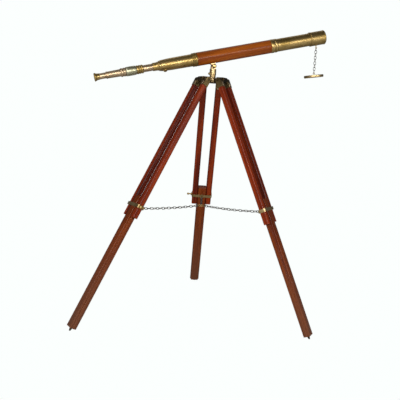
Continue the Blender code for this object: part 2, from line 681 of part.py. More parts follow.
def make_draw(tube_frame):
    """Sliding draw: its tube, bead ring, grip, eyepiece holder and erector lens."""
    wall = 0.0012
    bore = DRAW_RADIUS + GAP
    outer = [(DRAW_INNER_END, DRAW_RADIUS), (GRIP_END + 0.003, DRAW_RADIUS)]
    turned("draw_tube", sleeve(outer, DRAW_RADIUS - wall), tube_frame, BRASS, hollow=True)
    ring = beads(DRAW_RING_FRONT, DRAW_RING_END + GAP, 0.0153, 0.0169, 3)
    turned("draw_ring", sleeve(ring, bore), tube_frame, BRASS, hollow=True)
    grip = [(DRAW_RING_END, 0.0166), (DRAW_RING_END - 0.004, 0.0177), (-0.340, 0.0182),
            (GRIP_END + 0.0043, 0.0180), (GRIP_END + GAP, 0.0168)]
    turned("focus_grip", sleeve(grip, bore), tube_frame, NICKEL, hollow=True)
    holder = beads(GRIP_END, -0.382, 0.0152, 0.0168, 2)
    holder += [(-0.383, 0.0142), (-0.4345, 0.0132), (-0.4350, 0.0139),
               (HOLDER_END, 0.0139)]
    turned("eyepiece_holder", sleeve(holder, EYEPIECE_RADIUS + GAP), tube_frame, BRASS,
           hollow=True)
    turned("erector_lens", lens_profile(-0.250, 0.0121, 0.003, 0.0012), tube_frame, GLASS,
           steps=24)


def make_eyepiece(tube_frame):
    """Eyepiece that slides in its holder: tube, eye lens and the flared eyecup."""
    wall = 0.0010
    tube = [(EYEPIECE_INNER_END, EYEPIECE_RADIUS), (EYEPIECE_END, EYEPIECE_RADIUS)]
    turned("eyepiece_tube", sleeve(tube, EYEPIECE_RADIUS - wall), tube_frame, BRASS,
           steps=24, hollow=True)
    lens_radius = EYEPIECE_RADIUS - wall - GAP
    turned("eye_lens", lens_profile(-0.4593, lens_radius, 0.002, 0.0010), tube_frame, GLASS,
           steps=24)
    start = EYEPIECE_END - GAP
    cup = [(start, 0.0060), (start, 0.0122), (start - 0.0060, 0.0125),
           (start - 0.0120, 0.0138), (EYECUP_END + 0.003, 0.0156), (EYECUP_END, 0.0161),
           (EYECUP_END, 0.0143), (start - 0.0110, 0.0104), (start - 0.0040, 0.0060)]
    turned("eyecup", cup, tube_frame, BRASS, hollow=True)


def make_lens_cap():
    """Chain that hangs from the dew cap's eye, and the lens cap on it."""
    eye_centre = Vector((CAP_CHAIN_STATION, 0, -CAP_EYE_DROP))
    pivot = tube_matrix() @ eye_centre
    chain_frame = add_empty("cap_chain_frame", frame_at(pivot, PAN_ANGLE))
    first, last = -0.0050, -CAP_CHAIN_LENGTH + 0.0050
    count = 11
    points = [(0, 0, first + (last - first) * i / (count - 1)) for i in range(count)]
    cord("cap_chain", points, CAP_CHAIN_RADIUS, chain_frame, NICKEL)
    lean = Matrix.Rotation(math.radians(-CAP_LEAN), 4, "Y")
    cap_frame = add_empty("cap_frame", Matrix.Translation((0, 0, -CAP_CHAIN_LENGTH)) @ lean,
                          chain_frame)
    face = -CAP_EYE_RISE
    under = face - CAP_THICKNESS
    recess = DEW_CAP_RADIUS + 0.0011
    profile = [(face, 0.0), (face, 0.0382), (face - 0.0012, CAP_RADIUS - 0.0008),
               (face - CAP_THICKNESS / 2, CAP_RADIUS), (under + 0.0012, CAP_RADIUS - 0.0008),
               (under, 0.0382), (under, recess), (under + 0.0065, recess),
               (under + 0.0065, 0.0)]
    cap = turned("lens_cap", profile, cap_frame, BRASS, "Z", offset=(-CAP_EYE_OFFSET, 0, 0))
    ring = ring_of_wire("join_cap_eye", (0, 0, 0), 0.0035, 0.0010, (0, 1, 0), cap_frame)
    stem = rod("join_cap_stem", (0, 0, face - 0.001), (0, 0, -0.0035), 0.0014, cap_frame)
    boolean(cap, "UNION", stem, ring)


def tube_matrix():
    """World matrix of the telescope's frame."""
    return frame_at(TRIPOD_AXIS + Vector((0, 0, TUBE_HEIGHT)), PAN_ANGLE, TILT_ANGLE)


def make_telescope():
    """The mount's turning pieces and the whole telescope."""
    tilt_point = TRIPOD_AXIS + Vector((0, 0, TILT_HEIGHT))
    pan_frame = add_empty("pan_frame", frame_at(tilt_point, PAN_ANGLE))
    make_post(pan_frame)
    make_lock_screw(pan_frame)
    make_tilt_bolt(pan_frame)
    tube_frame = add_empty("telescope_frame", tube_matrix())
    tilt_axis = tube_matrix().inverted() @ tilt_point
    make_saddle(tube_frame, tilt_axis)
    make_saddle_screw(tube_frame, tilt_axis.x)
    make_barrel(tube_frame, tilt_axis.x)
    make_rear_tube(tube_frame)
    make_front(tube_frame)
    make_draw(tube_frame)
    make_eyepiece(tube_frame)
    make_lens_cap()


def main():
    hooks = {leg: make_leg(leg) for leg in LEG_AZIMUTHS}
    make_chains(hooks)
    make_head()
    make_pan_base()
    make_telescope()
    bpy.context.view_layer.update()


main()
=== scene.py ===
"""Looks of the brass and wood telescope on its tripod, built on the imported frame.

Each leg is drawn in its own frame: origin on its hinge, X along the hinge pin, Y inwards and
Z up along the leg. The telescope's frame has X along the tube and Z across it.
"""

import json
import math
import random

import bmesh
import bpy
from mathutils import Matrix, Vector


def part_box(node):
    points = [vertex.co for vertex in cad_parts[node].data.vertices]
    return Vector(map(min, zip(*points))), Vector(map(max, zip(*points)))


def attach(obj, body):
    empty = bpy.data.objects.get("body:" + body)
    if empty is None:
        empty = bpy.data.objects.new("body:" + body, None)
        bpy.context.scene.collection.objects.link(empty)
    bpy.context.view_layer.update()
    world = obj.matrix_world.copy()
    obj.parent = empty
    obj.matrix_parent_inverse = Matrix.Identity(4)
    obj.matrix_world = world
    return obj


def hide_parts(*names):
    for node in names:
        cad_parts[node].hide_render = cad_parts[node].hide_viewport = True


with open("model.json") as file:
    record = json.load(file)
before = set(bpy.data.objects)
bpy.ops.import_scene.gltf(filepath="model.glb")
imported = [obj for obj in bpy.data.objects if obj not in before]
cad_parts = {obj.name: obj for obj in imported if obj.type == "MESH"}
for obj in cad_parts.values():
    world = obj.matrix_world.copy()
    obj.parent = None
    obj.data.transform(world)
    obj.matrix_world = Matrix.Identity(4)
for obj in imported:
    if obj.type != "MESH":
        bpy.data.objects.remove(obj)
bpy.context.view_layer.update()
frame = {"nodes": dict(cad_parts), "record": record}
JOINTS = {joint["name"]: joint for joint in frame["record"]["behaviour"]["joints"]}
LEGS = ("back", "left", "right")
GAP = 0.0003
CHANCE = random.Random(7)

# Rails and ferrules are 1.2 and 1.1 mm deeper on each face than in the CAD, so that from the
# front the two rails of a leg close the gap between them.
RAIL_HALF, FERRULE_HALF = 0.0112, 0.0116

# Driving dimensions of the tripod, as in the CAD
RAIL_INNER, RAIL_OUTER = 0.018, 0.044
FERRULE_LENGTH = 0.029
RAIL_TOP, GROOVE_TOP = 0.0293, 0.108
RAIL_BOTTOMS = {"back": 0.607, "left": 0.617, "right": 0.599}
GROOVE_HALF, GROOVE_DEPTH = 0.0058, 0.0038
CORE_X, CORE_Y, TONGUE_X, TONGUE_Y = 0.0176, 0.01375, 0.0215, 0.0055
LOWER_LEG_LENGTH, SPIKE_LENGTH = 0.5696, 0.013
BAND_DEPTHS = {"back": 0.560, "left": 0.570, "right": 0.543}
BAND_HALF, BAND_WALL = 0.0065, 0.002
PIN_RADIUS = 0.0030

# Driving dimensions of the telescope, as in the CAD
DRAW_RADIUS, EYEPIECE_RADIUS, WOOD_RADIUS = 0.0137, 0.0115, 0.0268
MAIN_TUBE_RADIUS, DEW_CAP_RADIUS = 0.0230, 0.0283
WOOD_END, WOOD_FRONT = -0.0730, 0.2410
CAP_CHAIN_STATION, CAP_EYE_DROP, CAP_CHAIN_LENGTH = 0.4435, 0.0365, 0.1065
CAP_LEAN, CAP_EYE_OFFSET = 9.4, 0.0018

# Links of the chains: pitch, width and wire radius
STAY_LINK = (0.0130, 0.0094, 0.0014)
CAP_LINK = (0.0112, 0.0096, 0.0012)

# Yaw, pitch and roll of the view in degrees; its distance, height and lens
VIEW_ANGLES = (-0.434, 7.462, 3.663)
VIEW_DISTANCE, VIEW_HEIGHT, VIEW_LENS = 2.4826, 0.8093, 54.44

# Soft boxes: name, place, target, size and power
LIGHTS = (("front", (0.5, -3.4, 1.55), (0.5, -0.1, 1.0), (4.8, 0.55), 106),
          ("key", (-1.3, -1.6, 2.8), (0.0, 0.0, 0.8), (1.2, 0.9), 11),
          ("fill", (2.4, -1.5, 1.2), (0.0, 0.0, 0.8), (0.7, 1.6), 9),
          ("rim", (-0.3, 1.5, 3.2), (0.0, 0.0, 0.8), (2.4, 0.8), 7),
          ("side", (-2.6, -0.9, 0.8), (0.0, 0.0, 0.8), (0.5, 1.6), 9))
PAPER_WHITE = (0.97, 1.0, 0.99, 1)
ROOM_COLOUR, ROOM_STRENGTH = (0.80, 0.82, 0.85, 1), 0.13


# ---------------------------------------------------------------- frames

def frame_matrix(origin, x_axis, z_axis):
    """A matrix from its origin and two axes."""
    x_axis, z_axis = x_axis.normalized(), z_axis.normalized()
    y_axis = z_axis.cross(x_axis).normalized()
    matrix = Matrix((x_axis, y_axis, z_axis)).transposed().to_4x4()
    matrix.translation = origin
    return matrix


def leg_frame(leg):
    fold = JOINTS[leg + "_leg_fold"]
    return frame_matrix(Vector(fold["pos_m"]), Vector(fold["axis"]),
                        Vector(JOINTS[leg + "_leg_extend"]["axis"]))


def upright_frame(leg):
    fold = JOINTS[leg + "_leg_fold"]
    return frame_matrix(Vector(fold["pos_m"]), Vector(fold["axis"]), Vector((0, 0, 1)))


def leg_length(leg):
    """Distance from the leg's hinge to the floor, along the leg."""
    return JOINTS[leg + "_leg_fold"]["pos_m"][2] / JOINTS[leg + "_leg_extend"]["axis"][2]


PAN_AXIS = Vector(JOINTS["pan"]["pos_m"])
TILT_POINT = Vector(JOINTS["tilt"]["pos_m"])
TUBE_FORWARD = Vector(JOINTS["draw_slide"]["axis"])
TILT_AXIS = Vector(JOINTS["tilt"]["axis"])
BEARING = TUBE_FORWARD.copy()
BEARING.z = 0.0
BARREL_LOW, BARREL_HIGH = (Vector(corner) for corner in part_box("wood_barrel"))
TUBE_POINT = (BARREL_LOW + BARREL_HIGH) / 2 - TUBE_FORWARD * (WOOD_FRONT + WOOD_END) / 2
TUBE = frame_matrix(TUBE_POINT, TUBE_FORWARD, TUBE_FORWARD.cross(-TILT_AXIS))
FORK = frame_matrix(TILT_POINT, BEARING, Vector((0, 0, 1)))
HEAD = Matrix.Translation((PAN_AXIS.x, PAN_AXIS.y, 0))
RING_LOW, RING_HIGH = (Vector(corner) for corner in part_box("centre_ring"))
RING_CENTRE = (RING_LOW + RING_HIGH) / 2


# ---------------------------------------------------------------- camera and lights

def place_camera():
    """The camera that sees the object as a viewer in front of it does."""
    yaw, pitch, roll = (math.radians(angle) for angle in VIEW_ANGLES)
    ahead = Vector((math.sin(yaw) * math.cos(pitch), math.cos(yaw) * math.cos(pitch),
                    -math.sin(pitch)))
    right = Vector((math.cos(yaw), -math.sin(yaw), 0.0))
    up = right.cross(ahead)
    image_right = right * math.cos(roll) + up * math.sin(roll)
    data = bpy.data.cameras.new("view")
    data.lens = VIEW_LENS
    data.sensor_width = 36.0
    camera = bpy.data.objects.new("view", data)
    bpy.context.scene.collection.objects.link(camera)
    place = Vector((PAN_AXIS.x, PAN_AXIS.y - VIEW_DISTANCE, VIEW_HEIGHT))
    camera.matrix_world = frame_matrix(place, image_right, -ahead)
    bpy.context.scene.camera = camera


def add_area(name, place, target, size, power):
    data = bpy.data.lights.new(name, "AREA")
    data.shape = "RECTANGLE"
    data.size, data.size_y = size
    data.energy = power
    light = bpy.data.objects.new(name, data)
    light.location = place
    light.rotation_euler = (Vector(target) - Vector(place)).to_track_quat("-Z", "Y").to_euler()
    bpy.context.scene.collection.objects.link(light)


def light_scene():
    """Soft boxes above and beside the object, and a world that is white to the camera only."""
    bpy.context.scene.view_settings.view_transform = "Standard"
    for light in LIGHTS:
        add_area(*light)
    world = bpy.data.worlds.new("studio")
    bpy.context.scene.world = world
    world.use_nodes = True
    nodes, links = world.node_tree.nodes, world.node_tree.links
    nodes.clear()
    seen, unseen = nodes.new("ShaderNodeBackground"), nodes.new("ShaderNodeBackground")
    seen.inputs["Color"].default_value = PAPER_WHITE
    seen.inputs["Strength"].default_value = 1.0
    unseen.inputs["Color"].default_value = ROOM_COLOUR
    unseen.inputs["Strength"].default_value = ROOM_STRENGTH
    rays, mix = nodes.new("ShaderNodeLightPath"), nodes.new("ShaderNodeMixShader")
    out = nodes.new("ShaderNodeOutputWorld")
    links.new(rays.outputs["Is Camera Ray"], mix.inputs["Fac"])
    links.new(unseen.outputs[0], mix.inputs[1])
    links.new(seen.outputs[0], mix.inputs[2])
    links.new(mix.outputs[0], out.inputs["Surface"])


def make_floor():
    """Pale floor that the camera sees as white."""
    mesh = bpy.data.meshes.new("floor")
    half = 6.0
    corners = [(-half, -half, 0), (half, -half, 0), (half, half, 0), (-half, half, 0)]
    mesh.from_pydata(corners, [], [(0, 1, 2, 3)])
    floor = bpy.data.objects.new("floor", mesh)
    floor.location.z = -0.0006
    bpy.context.scene.collection.objects.link(floor)
    material, net = new_material("floor")
    glow = net.add("ShaderNodeEmission")
    glow.inputs["Color"].default_value = PAPER_WHITE
    glow.inputs["Strength"].default_value = 1.0
    paint = net.add("ShaderNodeBsdfDiffuse")
    paint.inputs["Color"].default_value = (0.70, 0.71, 0.70, 1)
    rays = net.add("ShaderNodeLightPath")
    mix = net.add("ShaderNodeMixShader")
    net.link(rays, "Is Camera Ray", mix, "Fac")
    net.link(paint, 0, mix, 1)
    net.link(glow, 0, mix, 2)
    net.link(mix, 0, net.output, "Surface")
    floor.data.materials.append(material)


# ---------------------------------------------------------------- materials

class Net:
    """A material's node tree with short calls for adding and linking nodes."""

    def __init__(self, material):
        material.use_nodes = True
        self.tree = material.node_tree
        self.tree.nodes.clear()
        self.output = self.add("ShaderNodeOutputMaterial")

    def add(self, kind, **settings):
        node = self.tree.nodes.new(kind)
        for key, value in settings.items():
            setattr(node, key, value)
        return node

    def link(self, source, out_socket, target, in_socket):
        self.tree.links.new(source.outputs[out_socket], target.inputs[in_socket])

    def coords(self, scale):
        """Object coordinates stretched by a scale for each axis."""
        place = self.add("ShaderNodeTexCoord")
        stretch = self.add("ShaderNodeMapping")
        stretch.inputs["Scale"].default_value = scale
        self.link(place, "Object", stretch, "Vector")
        return stretch

    def noise(self, scale, detail=4.0, roughness=0.55, distortion=0.0):
        """Noise in stretched object coordinates."""
        texture = self.add("ShaderNodeTexNoise")
        texture.inputs["Scale"].default_value = 1.0
        texture.inputs["Detail"].default_value = detail
        texture.inputs["Roughness"].default_value = roughness
        texture.inputs["Distortion"].default_value = distortion
        self.link(self.coords(scale), "Vector", texture, "Vector")
        return texture

    def ramp(self, source, socket, stops):
        """Colour ramp: stops are (position, colour)."""
        node = self.add("ShaderNodeValToRGB")
        band = node.color_ramp
        while len(band.elements) < len(stops):
            band.elements.new(0.5)
        for element, (position, colour) in zip(band.elements, stops):
            element.position = position
            element.color = (*colour, 1.0)
        self.link(source, socket, node, "Fac")
        return node

    def remap(self, source, socket, low, high, start=0.35, end=0.65):
        """Turns start..end of a value into low..high."""
        node = self.add("ShaderNodeMapRange")
        node.inputs["From Min"].default_value = start
        node.inputs["From Max"].default_value = end
        node.inputs["To Min"].default_value = low
        node.inputs["To Max"].default_value = high
        self.link(source, socket, node, "Value")
        return node

    def mix(self, first, second, amount, blend="MIX"):
        """Mix of two colour sockets; the amount is a number or a socket."""
        node = self.add("ShaderNodeMix", data_type="RGBA", blend_type=blend)
        self.tree.links.new(first, node.inputs["A"])
        self.tree.links.new(second, node.inputs["B"])
        if isinstance(amount, float):
            node.inputs["Factor"].default_value = amount
        else:
            self.tree.links.new(amount, node.inputs["Factor"])
        return node

    def bump(self, source, socket, strength, distance, before=None):
        node = self.add("ShaderNodeBump")
        node.inputs["Strength"].default_value = strength
        node.inputs["Distance"].default_value = distance
        self.link(source, socket, node, "Height")
        if before is not None:
            self.link(before, "Normal", node, "Normal")
        return node

    def shader(self, **values):
        """Principled shader wired to the output, with plain values on its sockets."""
        node = self.add("ShaderNodeBsdfPrincipled")
        for key, value in values.items():
            node.inputs[key.replace("_", " ")].default_value = value
        self.link(node, 0, self.output, "Surface")
        return node


def new_material(name):
    material = bpy.data.materials.new(name)
    return material, Net(material)


def brass_material(name, bright, mid, dark, roughness, along="X"):
    """Aged brass: soft blotches of tarnish, fine turning lines round the axis, dull patches."""
    material, net = new_material(name)
    blotch = net.noise((16, 16, 16), 5.0, 0.6)
    colour = net.ramp(blotch, "Fac", [(0.36, dark), (0.48, mid), (0.60, bright)])
    fine = net.noise((90, 90, 90), 3.0)
    fleck = net.ramp(fine, "Fac", [(0.35, (0.78, 0.76, 0.72)), (0.62, (1.0, 1.0, 1.0))])
    tint = net.mix(colour.outputs["Color"], fleck.outputs["Color"], 0.3, "MULTIPLY")
    lines = {"X": (420, 6, 6), "Z": (6, 6, 420)}[along]
    turning = net.noise(lines, 2.0)
    dull = net.remap(blotch, "Fac", roughness + 0.05, roughness - 0.02)
    shader = net.shader(Metallic=1.0)
    net.tree.links.new(tint.outputs["Result"], shader.inputs["Base Color"])
    net.link(dull, "Result", shader, "Roughness")
    net.link(net.bump(turning, "Fac", 0.003, 0.00001), "Normal", shader, "Normal")
    return material


def wood_material(name, light, mid, dark, along="Z", painted_floor_sheen=None, gap_shade_span=None):
    """Varnished wood with grain along one axis; the next to last argument is a colour that it
    greys to, a painted reflection of the pale floor, with the two places along the grain between
    which it does; the last is the two distances from the middle between which a painted shade
    of the gap between the rails goes from dark to full."""
    material, net = new_material(name)
    stretch = {"Z": (70, 70, 3.2), "X": (3.2, 70, 70)}[along]
    pores = {"Z": (520, 520, 16), "X": (16, 520, 520)}[along]
    patch = {"Z": (14, 14, 2.2), "X": (2.2, 14, 14)}[along]
    grain = net.noise(stretch, 6.0, 0.6, 0.7)
    colour = net.ramp(grain, "Fac", [(0.30, dark), (0.48, mid), (0.66, light)])
    pore = net.noise(pores, 3.0, 0.6)
    speck = net.ramp(pore, "Fac", [(0.32, (0.45, 0.40, 0.38)), (0.52, (1.0, 1.0, 1.0))])
    tint = net.mix(colour.outputs["Color"], speck.outputs["Color"], 0.55, "MULTIPLY")
    broad = net.noise(patch, 3.0)
    shade = net.ramp(broad, "Fac", [(0.35, (0.62, 0.58, 0.56)), (0.62, (1.12, 1.06, 1.0))])
    tint = net.mix(tint.outputs["Result"], shade.outputs["Color"], 0.8, "MULTIPLY")
    # Painted reflection: the wood greys towards one end as if mirroring the pale floor.
    if painted_floor_sheen:
        grey, start, end = painted_floor_sheen
        place = net.add("ShaderNodeTexCoord")
        split = net.add("ShaderNodeSeparateXYZ")
        net.link(place, "Object", split, "Vector")
        reach = net.remap(split, along, 0.0, 0.65, start, end)
        paint = net.add("ShaderNodeRGB")
        paint.outputs[0].default_value = (*grey, 1.0)
        tint = net.mix(tint.outputs["Result"], paint.outputs[0], reach.outputs["Result"])
    # Painted shade: the rails darken towards their inner faces, where the gap between them lies in
    # shadow.
    if gap_shade_span:
        place = net.add("ShaderNodeTexCoord")
        split = net.add("ShaderNodeSeparateXYZ")
        net.link(place, "Object", split, "Vector")
        aside = net.add("ShaderNodeMath", operation="ABSOLUTE")
        net.link(split, "X", aside, 0)
        reach = net.remap(aside, 0, 0.0, 1.0, *gap_shade_span)
        painted_shade_ramp = net.ramp(reach, "Result", [(0.0, (0.42, 0.30, 0.26)), (1.0, (1.0, 1.0, 1.0))])
        tint = net.mix(tint.outputs["Result"], painted_shade_ramp.outputs["Color"], 1.0, "MULTIPLY")
    shader = net.shader(Metallic=0.0, IOR=1.5)
    shader.inputs["Specular IOR Level"].default_value = 0.10
    shader.inputs["Coat Weight"].default_value = 0.16
    shader.inputs["Coat Roughness"].default_value = 0.22
    net.tree.links.new(tint.outputs["Result"], shader.inputs["Base Color"])
    rough = net.remap(pore, "Fac", 0.50, 0.32)
    net.link(rough, "Result", shader, "Roughness")
    net.link(net.bump(grain, "Fac", 0.03, 0.00003), "Normal", shader, "Normal")
    return material


def chain_material(name):
    """Bright plated wire, dulled in places."""
    material, net = new_material(name)
    wear = net.noise((240, 240, 240), 4.0)
    colour = net.ramp(wear, "Fac", [(0.35, (0.05, 0.045, 0.035)), (0.55, (0.26, 0.25, 0.22))])
    shader = net.shader(Metallic=1.0)
    net.link(colour, "Color", shader, "Base Color")
    rough = net.remap(wear, "Fac", 0.45, 0.25)
    net.link(rough, "Result", shader, "Roughness")
    net.link(net.bump(wear, "Fac", 0.15, 0.0002), "Normal", shader, "Normal")
    return material


def glass_material(name):
    """Coated lens glass with faint dust."""
    material, net = new_material(name)
    dust = net.noise((300, 300, 300), 4.0)
    shader = net.shader(IOR=1.52)
    shader.inputs["Base Color"].default_value = (0.86, 0.92, 0.94, 1)
    shader.inputs["Transmission Weight"].default_value = 1.0
    shader.inputs["Coat Weight"].default_value = 0.4
    shader.inputs["Coat Tint"].default_value = (0.75, 0.65, 0.95, 1)
    net.link(net.remap(dust, "Fac", 0.02, 0.10, 0.5, 0.75), "Result", shader, "Roughness")
    return material


BRASS = brass_material("aged_brass", (0.52, 0.36, 0.14), (0.42, 0.285, 0.10),
                       (0.32, 0.21, 0.06), 0.34)
BRASS_UPRIGHT = brass_material("aged_brass_upright", (0.60, 0.44, 0.22), (0.44, 0.31, 0.14),
                               (0.24, 0.16, 0.06), 0.38, "Z")
PALE_BRASS = brass_material("pale_brass", (0.62, 0.46, 0.29), (0.52, 0.38, 0.23),
                            (0.38, 0.27, 0.15), 0.34)
GRIP_BRASS = brass_material("grip_brass", (0.60, 0.58, 0.42), (0.50, 0.48, 0.33),
                            (0.36, 0.34, 0.21), 0.36)
DARK_BRASS = brass_material("dark_brass", (0.20, 0.14, 0.06), (0.12, 0.082, 0.034),
                            (0.06, 0.040, 0.015), 0.36, "Z")
BRONZE = brass_material("dark_bronze", (0.12, 0.085, 0.04), (0.055, 0.038, 0.018),
                        (0.02, 0.014, 0.008), 0.34, "Z")
# Leg wood with painted shade on the rails' inner faces, by the gap between them.
LEG_WOOD = wood_material("leg_wood", (0.29, 0.036, 0.002), (0.19, 0.019, 0.001),
                         (0.09, 0.007, 0.001), gap_shade_span=(0.0178, 0.0250))
# Lower leg wood that greys towards the foot: a painted reflection of the pale floor.
LOWER_WOOD = wood_material("lower_leg_wood", (0.26, 0.054, 0.005), (0.185, 0.032, 0.003),
                           (0.10, 0.014, 0.002), painted_floor_sheen=((0.17, 0.070, 0.036), -0.66, -1.08))
BARREL_WOOD = wood_material("barrel_wood", (0.33, 0.085, 0.006), (0.25, 0.057, 0.004),
                            (0.15, 0.027, 0.002), "X")
CHAIN = chain_material("plated_chain")
GLASS = glass_material("lens_glass")


# ---------------------------------------------------------------- shape helpers

# Matrices that turn Z to the named axis
AXES = {"X": Matrix(((0, 0, 1, 0), (1, 0, 0, 0), (0, 1, 0, 0), (0, 0, 0, 1))),
        "Y": Matrix(((0, 1, 0, 0), (0, 0, 1, 0), (1, 0, 0, 0), (0, 0, 0, 1))),
        "Z": Matrix.Identity(4)}


def add_box(bm, low, high):
    """A box between two corners."""
    low, high = Vector(low), Vector(high)
    middle = Matrix.Translation((low + high) / 2)
    scale = Matrix.Diagonal((*(high - low), 1.0))
    bmesh.ops.create_cube(bm, size=1.0, matrix=middle @ scale)


def add_rod(bm, start, end, radius, steps=32, end_radius=None):
    """A cylinder or cone between two points."""
    start, end = Vector(start), Vector(end)
    run = end - start
    turn = run.to_track_quat("Z", "Y").to_matrix().to_4x4()
    bmesh.ops.create_cone(bm, cap_ends=True, segments=steps, radius1=radius,
                          radius2=radius if end_radius is None else end_radius,
                          depth=run.length, matrix=Matrix.Translation((start + end) / 2) @ turn)


def add_prism(bm, outline, low, high, axis="Z"):
    """An outline across an axis, extruded from one station on it to another."""
    turn = AXES[axis]
    rings = [[bm.verts.new(turn @ Vector((u, v, station))) for u, v in outline]
             for station in (low, high)]
    count = len(outline)
    for i in range(count):
        j = (i + 1) % count
        bm.faces.new((rings[0][i], rings[0][j], rings[1][j], rings[1][i]))
    bm.faces.new(list(reversed(rings[0])))
    bm.faces.new(rings[1])


def add_lathe(bm, profile, axis="X", steps=96, hollow=False, shape=None, place=None):
    """A profile of (station, radius) turned about an axis. shape(station, angle) may return
    how far the surface stands out there, for knurls and facets."""
    matrix = (place or Matrix.Identity(4)) @ AXES[axis]
    rings = []
    for station, radius in profile:
        if radius < 1e-7:
            rings.append([bm.verts.new(matrix @ Vector((0, 0, station)))])
            continue
        ring = []
        for i in range(steps):
            angle = math.tau * i / steps
            r = radius + (shape(station, angle) if shape else 0.0)
            ring.append(bm.verts.new(matrix @ Vector((r * math.cos(angle),
                                                      r * math.sin(angle), station))))
        rings.append(ring)
    pairs = list(zip(rings, rings[1:]))
    if hollow:
        pairs.append((rings[-1], rings[0]))
    for first, second in pairs:
        join_rings(bm, first, second, steps)


def join_rings(bm, first, second, steps):
    """Faces between two rings, either of which may be a single point."""
    for i in range(steps):
        j = (i + 1) % steps
        if len(first) == 1 and len(second) == 1:
            return
        if len(first) == 1:
            bm.faces.new((first[0], second[i], second[j]))
        elif len(second) == 1:
            bm.faces.new((first[i], second[0], first[j]))
        else:
            bm.faces.new((first[i], second[i], second[j], first[j]))


def add_loop(bm, centre, radius, wire, axis, stretch=0.0, along=(0, 0, 1), steps=24, sides=10):
    """A ring of wire about an axis; stretch lengthens it into a link along a direction."""
    axis, along = Vector(axis).normalized(), Vector(along).normalized()
    across = axis.cross(along).normalized()
    centre = Vector(centre)
    rings = []
    for i in range(steps):
        angle = math.tau * (i + 0.5) / steps
        out = along * math.cos(angle) + across * math.sin(angle)
        shift = along * math.copysign(stretch / 2, math.cos(angle))
        middle = centre + out * radius + shift
        rings.append([bm.verts.new(middle + out * wire * math.cos(turn)
                                   + axis * wire * math.sin(turn))
                      for turn in (math.tau * k / sides for k in range(sides))])
    for i in range(steps):
        join_rings(bm, rings[i], rings[(i + 1) % steps], sides)


def absorb(bm, other):
    """Add one bmesh's geometry to another and free it."""
    mesh = bpy.data.meshes.new("part")
    other.to_mesh(mesh)
    other.free()
    bm.from_mesh(mesh)
    bpy.data.meshes.remove(mesh)


def piece(name, bm, matrix, material, body, nodes=(), soften=0.0, segments=2):
    """Turns a bmesh into a piece of the object that rides on a body."""
    bmesh.ops.recalc_face_normals(bm, faces=bm.faces)
    mesh = bpy.data.meshes.new(name)
    bm.to_mesh(mesh)
    bm.free()
    mesh.shade_smooth()
    mesh.set_sharp_from_angle(angle=math.radians(32))
    mesh.materials.append(material)
    obj = bpy.data.objects.new(name, mesh)
    bpy.context.scene.collection.objects.link(obj)
    obj.matrix_world = matrix
    if soften:
        bevel = obj.modifiers.new("soften", "BEVEL")
        bevel.limit_method = "ANGLE"
        bevel.angle_limit = math.radians(32)
        bevel.width = soften
        bevel.segments = segments
        bevel.use_clamp_overlap = True
        bevel.harden_normals = True
    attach(obj, body)
    if nodes:
        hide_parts(*nodes)
    return obj


def turned_piece(name, profile, matrix, material, body, node, axis="X", hollow=False,
                 steps=96, shape=None, soften=0.00025):
    """A piece that is one turned shape and replaces one node."""
    bm = bmesh.new()
    add_lathe(bm, profile, axis, steps, hollow, shape)
    return piece(name, bm, matrix, material, body, (node,), soften)


def sleeve(outline, bore):
    """Hollow profile from an outer line, far end first, and a plain bore."""
    return outline + [(outline[-1][0], bore), (outline[0][0], bore)]


def bead(start, end, base, crown, points=10):
    """Round bead from start down to end."""
    line = []
    for i in range(points + 1):
        share = i / points
        rise = math.sqrt(max(0.0, 1.0 - (2.0 * share - 1.0) ** 2))
        line.append((start + (end - start) * share, base + (crown - base) * rise))
    return line


def bead_row(start, end, base, crown, count, gap=0.0004):
    """Beads side by side with a narrow quirk between them."""
    pitch = (end - start) / count
    sign = math.copysign(1.0, pitch)
    line = []
    for i in range(count):
        first = start + i * pitch + sign * (gap / 2 if i else 0)
        last = start + (i + 1) * pitch - sign * (gap / 2 if i < count - 1 else 0)
        line += bead(first, last, base, crown)
    return line


def knurl(depth, count, low, high):
    """Straight knurl of a depth between two stations."""
    def rise(station, angle):
        if not low <= station <= high:
            return 0.0
        return -depth * (0.5 + 0.5 * math.cos(count * angle))
    return rise


def rounded(x, y, radius, points=5):
    """Outline of a rectangle of half sizes x and y with round corners."""
    line = []
    for corner, (sx, sy) in enumerate(((1, 1), (-1, 1), (-1, -1), (1, -1))):
        for i in range(points + 1):
            angle = math.radians(90 * corner + 90 * i / points)
            line.append((sx * (x - radius) + radius * math.cos(angle),
                         sy * (y - radius) + radius * math.sin(angle)))
    return line


# ---------------------------------------------------------------- legs

def rail_outline(side, grooved):
    """Cross-section of a rail, with the groove in its inner face or without it."""
    middle = (RAIL_INNER + RAIL_OUTER) / 2
    half = (RAIL_OUTER - RAIL_INNER) / 2
    outline = [(x + middle, y) for x, y in rounded(half, RAIL_HALF, 0.0052)]
    if grooved:
        floor_x = RAIL_INNER + GROOVE_DEPTH
        cut = [(RAIL_INNER, GROOVE_HALF - 0.0012), (floor_x, GROOVE_HALF - 0.0012),
               (floor_x, -GROOVE_HALF + 0.0012), (RAIL_INNER, -GROOVE_HALF + 0.0012)]
        index = next(i for i, (x, y) in enumerate(outline)
                     if abs(x - RAIL_INNER) < 1e-6 and y > 0) + 1
        cut = [(x, max(min(y, RAIL_HALF - 0.0053), -RAIL_HALF + 0.0053)) for x, y in cut]
        outline = outline[:index] + cut + outline[index:]
    if side < 0:
        outline = [(-x, y) for x, y in reversed(outline)]
    return outline


def make_rail(leg, label, side, matrix):
    bm = bmesh.new()
    add_prism(bm, rail_outline(side, True), -RAIL_BOTTOMS[leg], -GROOVE_TOP)
    add_prism(bm, rail_outline(side, False), -GROOVE_TOP, -RAIL_TOP)
    name = f"{leg}_rail_{label}"
    piece(name + "_look", bm, matrix, LEG_WOOD, leg + "_leg", (name,))


